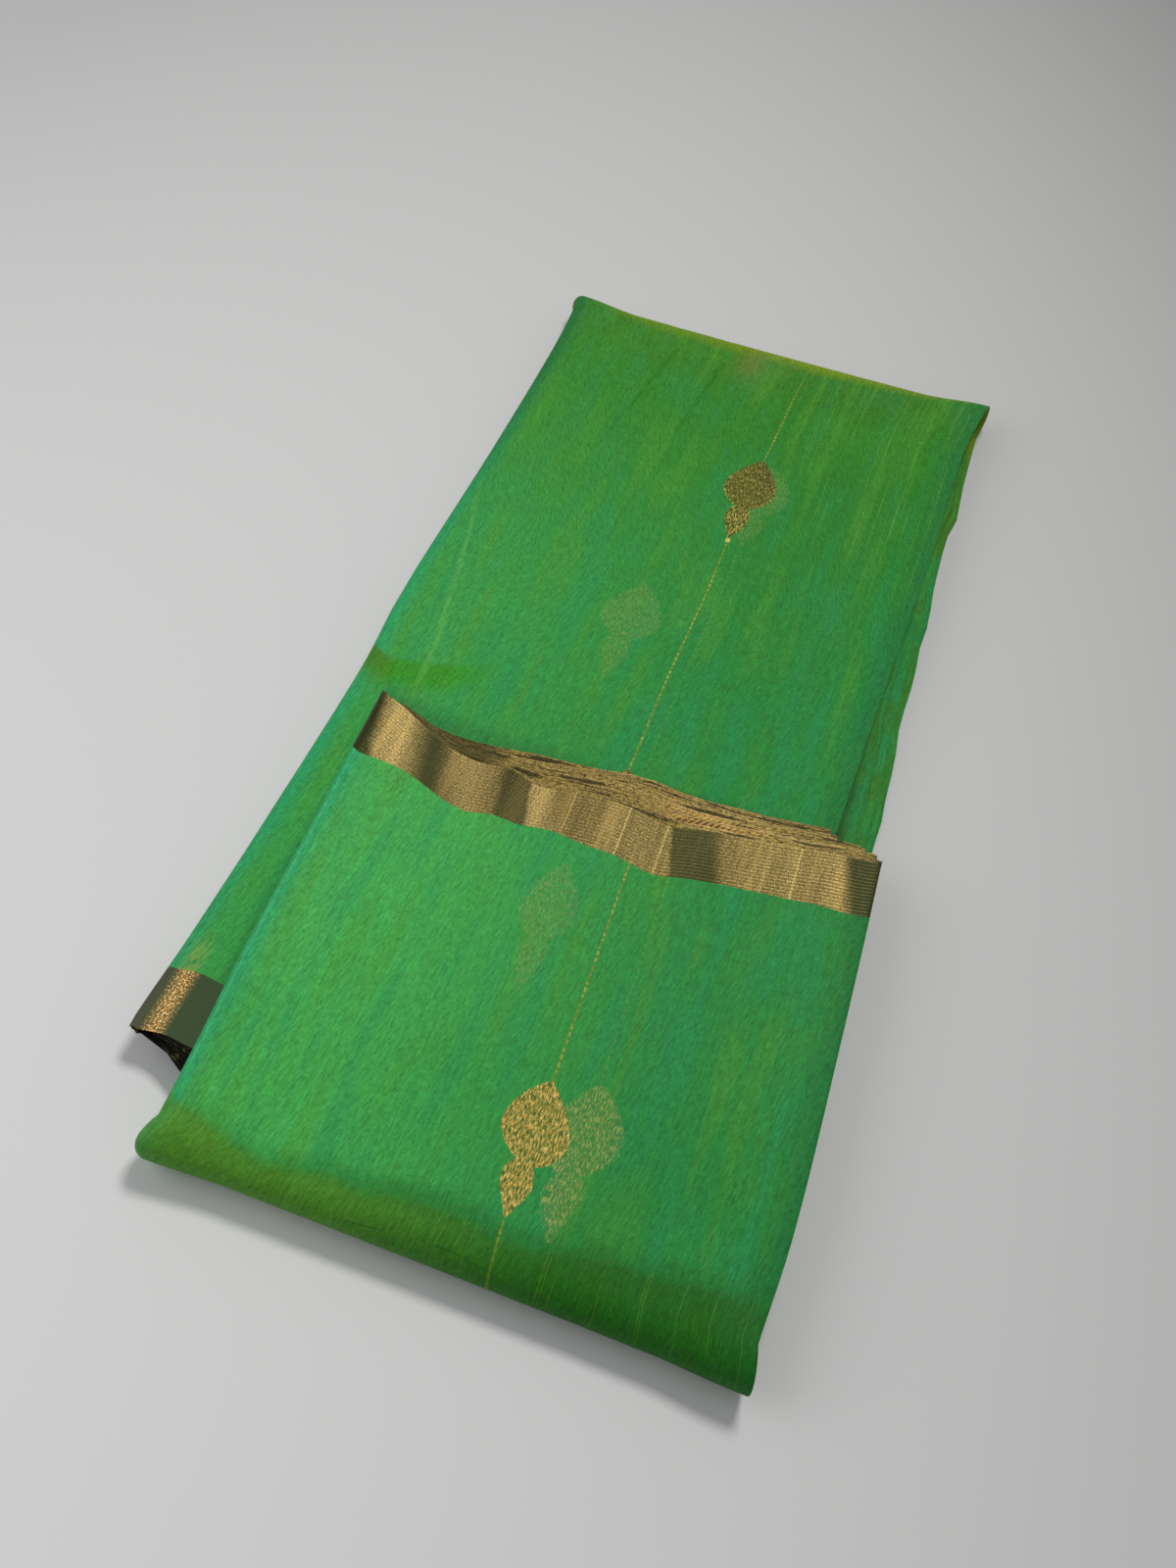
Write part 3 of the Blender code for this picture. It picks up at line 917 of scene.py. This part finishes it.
def flap_border(tree, metal, u, v, from_edge, fine, shows):
    """The flap's border: painted shade where it bends away, a painted highlight beside that, and crossed by
    bright lines.
    """
    at = u + (noise(tree, u * 30.0, v * 120.0, 1.0) - 0.5) * 0.003 - (from_edge - 0.012) * 0.2
    # Painted shade where the border bends away and at its left and wrapped right ends
    dark = at.step(-0.1010, -0.1060).at_least((at + 0.0772).bump_at(0.0, 0.0135))
    dark = dark.at_least(at.step(-0.0495, -0.0450) * at.step(-0.0335, -0.0350) * 0.80)
    dark = dark.at_least(at.step(0.0240, 0.0258) * at.step(0.0470, 0.0400) * 0.90)
    dark = dark.at_least(at.step(0.0905, 0.0965))
    # Painted highlights beside those places
    painted_shine = (at + 0.0290).bump_at(0.0, 0.0100).at_least((at + 0.0585).bump_at(0.0, 0.0110) * 0.8)
    painted_shine = painted_shine.at_least((at + 0.0940).bump_at(0.0, 0.0110) * 0.7)
    metal = colour_mix(tree, painted_shine * fine.step(0.36, 0.60) * shows * 0.5, metal, linear(212, 184, 116))
    metal = colour_mix(tree, dark * (fine * 0.2 + 0.80) * shows, metal, linear(38, 46, 18))
    lines = abs(u - BORDER_LINES[0])
    for place in BORDER_LINES[1:]:
        lines = lines.at_most(abs(u - place))
    lines = lines.step(0.0005, 0.0002) * fine.step(0.35, 0.55)
    return colour_mix(tree, lines * shows * 0.50, metal, linear(206, 178, 108))


def stacked_borders(tree, u, v, across, layer, from_edge, painted_glints):
    """The borders of the layers below: their loose edges and twisted threads, with painted shade in the
    slits between them and dark painted shadow inside.
    """
    below = noise(tree, u * 420.0, v * 1700.0 + layer * 90.0, 2.0, 0.7, 41.0)
    stacked = colour_mix(tree, below.step(0.36, 0.62), linear(46, 42, 16), linear(136, 116, 58))
    stacked = colour_mix(tree, painted_glints * 0.6, stacked, linear(192, 164, 98))
    # Painted shade in the slits between the layers
    slit_shade = noise(tree, u * 38.0, v * 420.0 + layer * 70.0, 1.0, 0.5, 47.0).step(0.47, 0.41)
    stacked = colour_mix(tree, slit_shade * 0.85, stacked, linear(30, 29, 10))
    rope = abs((u * 390.0 + v * 350.0).fraction() - 0.5).step(0.10, 0.35) * across.bump_at(0.67, 0.14)
    rope = rope * layer.step(0.05, 0.06) * layer.step(0.50, 0.45)
    stacked = colour_mix(tree, rope * 0.45, stacked, linear(196, 150, 86))
    selvedge = from_edge.step(0.0005, 0.0002) * below.step(0.40, 0.52)
    stacked = colour_mix(tree, selvedge * 0.6, stacked, linear(168, 142, 90))
    in_shade = (across.step(0.27, 0.19) * 0.70).at_least(across.step(0.75, 0.92) * 0.25)
    stacked = colour_mix(tree, in_shade, stacked, linear(44, 46, 18))
    # Painted shadow inside the inner end, broken by flecks where the borders show
    painted_inner_shadow = v.step(0.11, 0.10) * across.step(0.05, 0.20, 0.97, 0.75)
    flecks = noise(tree, u * 330.0, v * 300.0 + layer * 50.0, 0.0, 0.5, 67.0).step(0.62, 0.68)
    painted_inner_shadow = painted_inner_shadow * (1.0 - flecks * across.step(0.02, 0.06) * 0.8)
    return colour_mix(tree, painted_inner_shadow, stacked, linear(15, 16, 12))


def inner_end_border(tree, u, v, rib, fine):
    """The border at the inner end: dull, with one painted highlight, a glinting stripe."""
    dull = colour_mix(tree, rib.step(0.4, 1.0) * 0.10, linear(60, 76, 50), linear(46, 60, 38))
    dull = colour_mix(tree, fine.step(0.48, 0.62) * 0.22, dull, linear(96, 96, 60))
    dull = colour_mix(tree, (u + 0.1030).step(0.0, -0.004) * 0.8, dull, linear(84, 84, 66))
    glint_grain = noise(tree, u * 1450.0, v * 1250.0, 1.0, 0.6, 53.0)
    # Painted highlight: a glinting stripe where the border curves round the left side
    painted_stripe_glint = (u + 0.0998).bump_at(0.0, 0.0058)
    dull = colour_mix(tree, painted_stripe_glint * glint_grain.step(0.36, 0.58, 0.25, 1.0), dull, linear(178, 134, 72))
    return colour_mix(tree, painted_stripe_glint * glint_grain.step(0.52, 0.64), dull, linear(255, 216, 142))


def border_colour(tree, u, v, across, layer, is_outer):
    """The metal thread border, and how far each point is from the middle of its rib."""
    from_edge = v.at_most(CLOTH_WIDTH - v)
    rib = abs((v * RIBS).fraction() - 0.5) * 2.0
    fine = noise(tree, u * 1100.0, v * 2900.0, 2.0, 0.75, 31.0)
    # Painted glints of the metal threads
    painted_glints = noise(tree, u * 2400.0, v * 2400.0, 0.0, 0.5, 37.0).step(0.60, 0.72)
    metal = metal_ground(tree, u, v, rib, fine, painted_glints)
    metal = flap_border(tree, metal, u, v, from_edge, fine, v.step(*FLAP_BORDER) * is_outer)
    stacked = stacked_borders(tree, u, v, across, layer, from_edge, painted_glints)
    metal = colour_mix(tree, 1.0 - is_outer, metal, stacked)
    dull = inner_end_border(tree, u, v, rib, fine)
    return colour_mix(tree, v.step(*INNER_BORDER) * is_outer, metal, dull), rib


def border_width(u, v):
    """The border's width as it shows, which is uneven along the flap's end."""
    wide = u.step(-0.084, -0.1075) * 0.0064 - u.bump_at(-0.0770, 0.018) * 0.0020
    wide = wide + u.bump_at(-0.0545, 0.008) * 0.0008 - u.bump_at(-0.0280, 0.024) * 0.0042
    wide = (wide + u.step(0.060, 0.105) * 0.0024) * v.step(1.0, 1.01)
    return v.step(*FLAP_BEGINS, 0.0016, 0.0) + wide + BORDER


def cloth_material(folds):
    material = bpy.data.materials.new("shot_silk")
    material.use_nodes = True
    tree = material.node_tree
    shader = tree.nodes["Principled BSDF"]
    u, v = map_sockets(tree, "cloth")
    across, layer = map_sockets(tree, "where")
    is_outer = layer.step(0.03, 0.02)

    lean = v.step(0.40, 0.25).at_least(v.step(*FLAP_BEGINS)) * 0.22
    leant = u - lean * v
    streaks = noise(tree, leant * 1000.0, v * 190.0, 2.0, 0.65)
    long_streaks = noise(tree, u * 1300.0, v * 45.0, 1.0, 0.6, 29.0)
    broad = noise(tree, u * 105.0, v * 13.0, 1.0, 0.55, 3.0)
    clouds = noise(tree, u * 34.0, v * 19.0, 1.0, 0.55, 7.0)
    grain = noise(tree, leant * 2300.0, v * 520.0, 0.0, 0.5, 11.0)
    slub = noise(tree, u * 300.0, v * 1400.0, 0.0, 0.5, 17.0)

    ground, at_near, at_far, toward_far = ground_colour(tree, v, across, is_outer, folds, broad, clouds)
    ground = add_marks(tree, ground, u, v, is_outer, clouds)
    spots = noise(tree, v * 45.0, u * 20.0, 1.0, 0.5, 23.0).step(0.46, 0.62)
    ground = colour_mix(tree, spots * (1.0 - is_outer) * 0.8, ground, linear(52, 112, 24))
    # Painted shadow: the inner layers darken except at their very right ends, where the upper ply's edge
    # shades them
    inside = across.step(0.992, 0.968) * (1.0 - is_outer)
    ground = colour_mix(tree, inside * 0.65, ground, linear(14, 54, 14))
    ground = add_threads(tree, ground, u, v, across, at_near, at_far, toward_far)

    shade = (streaks - 0.5) * 1.05 + (grain - 0.5) * 0.52 + (slub - 0.5) * 0.20 + (broad - 0.5) * 0.16
    gain = shade + (long_streaks - 0.5) * 0.38 + 1.0
    gain = add_node(tree, "ShaderNodeCombineXYZ", X=gain, Y=gain, Z=gain)
    ground = colour_mix(tree, 1.0, ground, gain, "MULTIPLY")

    a = u - line_place(v)
    ground, motif, stroke = add_motifs(tree, ground, a, v, is_outer)
    ground = add_ghosts(tree, ground, a, v, motif, is_outer, clouds)
    ground = add_gold_line(tree, ground, a, v, at_near, (1.0 - motif) * is_outer)

    from_edge = v.at_most(CLOTH_WIDTH - v)
    border = (from_edge - border_width(u, v)).step(0.0001, -0.0002)
    metal, rib = border_colour(tree, u, v, across, layer, is_outer)
    ground = colour_mix(tree, border, ground, metal)
    # A painted highlight: the border's glinting stripe spills onto the green beside it
    painted_highlight = (u + 0.1005).bump_at(0.0, 0.0060) * v.step(0.046, 0.026) * (1.0 - border) * is_outer
    ground = colour_mix(tree, painted_highlight * streaks.step(0.35, 0.62) * 0.7, ground, linear(150, 158, 76))

    tree.links.new(ground.socket, shader.inputs["Base Color"])
    metallic = border * 0.50 + motif * stroke * 0.30
    tree.links.new(metallic.socket, shader.inputs["Metallic"])
    rough = 0.58 - border * 0.14 - motif * 0.08
    tree.links.new(rough.socket, shader.inputs["Roughness"])
    shader.inputs["Specular IOR Level"].default_value = 0.15
    height = streaks * 0.8 + grain * 0.4 + slub * 0.2 + border * (1.0 - rib) * v.step(0.10, 0.20, 0.15, 0.7)
    bump = add_node(tree, "ShaderNodeBump", {}, 0, Strength=0.4, Distance=0.0004, Height=height)
    tree.links.new(bump.socket, shader.inputs["Normal"])
    return material


def map_sockets(tree, name):
    """The two coordinates of one of the mesh's maps."""
    found = add_node(tree, "ShaderNodeUVMap", {"uv_map": name})
    first = add_node(tree, "ShaderNodeSeparateXYZ", Vector=found)
    return first, Value(tree, first.socket.node.outputs[1])


def add_floor():
    size = 3.0
    corners = [(-size, -size, 0.0), (size, -size, 0.0), (size, size, 0.0), (-size, size, 0.0)]
    mesh = bpy.data.meshes.new("floor")
    mesh.from_pydata(corners, [], [(0, 1, 2, 3)])
    floor = bpy.data.objects.new("floor", mesh)
    bpy.context.scene.collection.objects.link(floor)
    material = bpy.data.materials.new("floor_painted_light")
    material.use_nodes = True
    tree = material.node_tree
    shader = tree.nodes["Principled BSDF"]
    place = add_node(tree, "ShaderNodeNewGeometry")
    place = add_node(tree, "ShaderNodeSeparateXYZ", Vector=place)
    x, y = place, Value(tree, place.socket.node.outputs[1])
    x, y = x.at_least(-0.5).at_most(0.5), y.at_least(-0.5).at_most(0.9)
    # Painted light: the floor's tone falls off to the right, to the back and to either side
    tone = (FLOOR_TONE - x * FLOOR_LIGHT_FALL[0] - y * FLOOR_LIGHT_FALL[1] - x * x * FLOOR_LIGHT_CURVE) * FLOOR_SHARE
    tone = tone.at_least(FLOOR_LEAST)
    tone = add_node(tree, "ShaderNodeCombineXYZ", X=tone, Y=tone, Z=tone)
    tree.links.new(tone.socket, shader.inputs["Base Color"])
    shader.inputs["Roughness"].default_value = 0.7
    mesh.materials.append(material)


def add_light(name, place, target, size, power, colour):
    data = bpy.data.lights.new(name, "AREA")
    data.shape = "RECTANGLE"
    data.size, data.size_y = size
    data.energy = power
    data.color = colour
    light = bpy.data.objects.new(name, data)
    bpy.context.scene.collection.objects.link(light)
    light.location = place
    direction = [t - p for t, p in zip(target, place)]
    light.rotation_euler = Vector(direction).to_track_quat("-Z", "Y").to_euler()


def add_camera():
    place = (0.06612, -0.37404, 0.49359)
    right = (0.95106, 0.30429, 0.05378)
    down = (0.27980, -0.77414, -0.56782)
    ahead = (-0.13115, 0.55507, -0.82140)
    data = bpy.data.cameras.new("photo_view")
    data.sensor_fit = "VERTICAL"
    data.sensor_height = 36.0
    data.sensor_width = 27.0
    data.lens = 33.25
    data.clip_start = 0.01
    camera = bpy.data.objects.new("photo_view", data)
    bpy.context.scene.collection.objects.link(camera)
    turned = Matrix([right, [-d for d in down], [-d for d in ahead]]).transposed()
    camera.matrix_world = Matrix.Translation(place) @ turned.to_4x4()
    bpy.context.scene.camera = camera


def add_world():
    world = bpy.data.worlds.new("studio")
    world.use_nodes = True
    ground = world.node_tree.nodes["Background"]
    ground.inputs["Color"].default_value = (0.98, 0.99, 1.0, 1.0)
    ground.inputs["Strength"].default_value = 0.25
    bpy.context.scene.world = world
    bpy.context.scene.view_settings.view_transform = "Standard"


def main():
    mesh, folds = cloth_mesh()
    mesh.materials.append(cloth_material(folds))
    sari = bpy.data.objects.new("sari", mesh)
    bpy.context.scene.collection.objects.link(sari)
    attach(sari, "root")
    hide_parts("sari_cloth")
    add_floor()
    add_world()
    add_light(
        "ceiling", place=(0.25, 0.75, 1.5), target=(0.0, 0.0, 0.0),
        size=(0.50, 0.34), power=15.0, colour=(1.0, 0.99, 0.97),
    )
    add_light(
        "fill", place=(-0.9, -0.3, 0.8), target=(-0.3, -0.1, 0.0),
        size=(1.0, 1.0), power=3.6, colour=(1.0, 1.0, 1.0),
    )
    add_camera()


main()
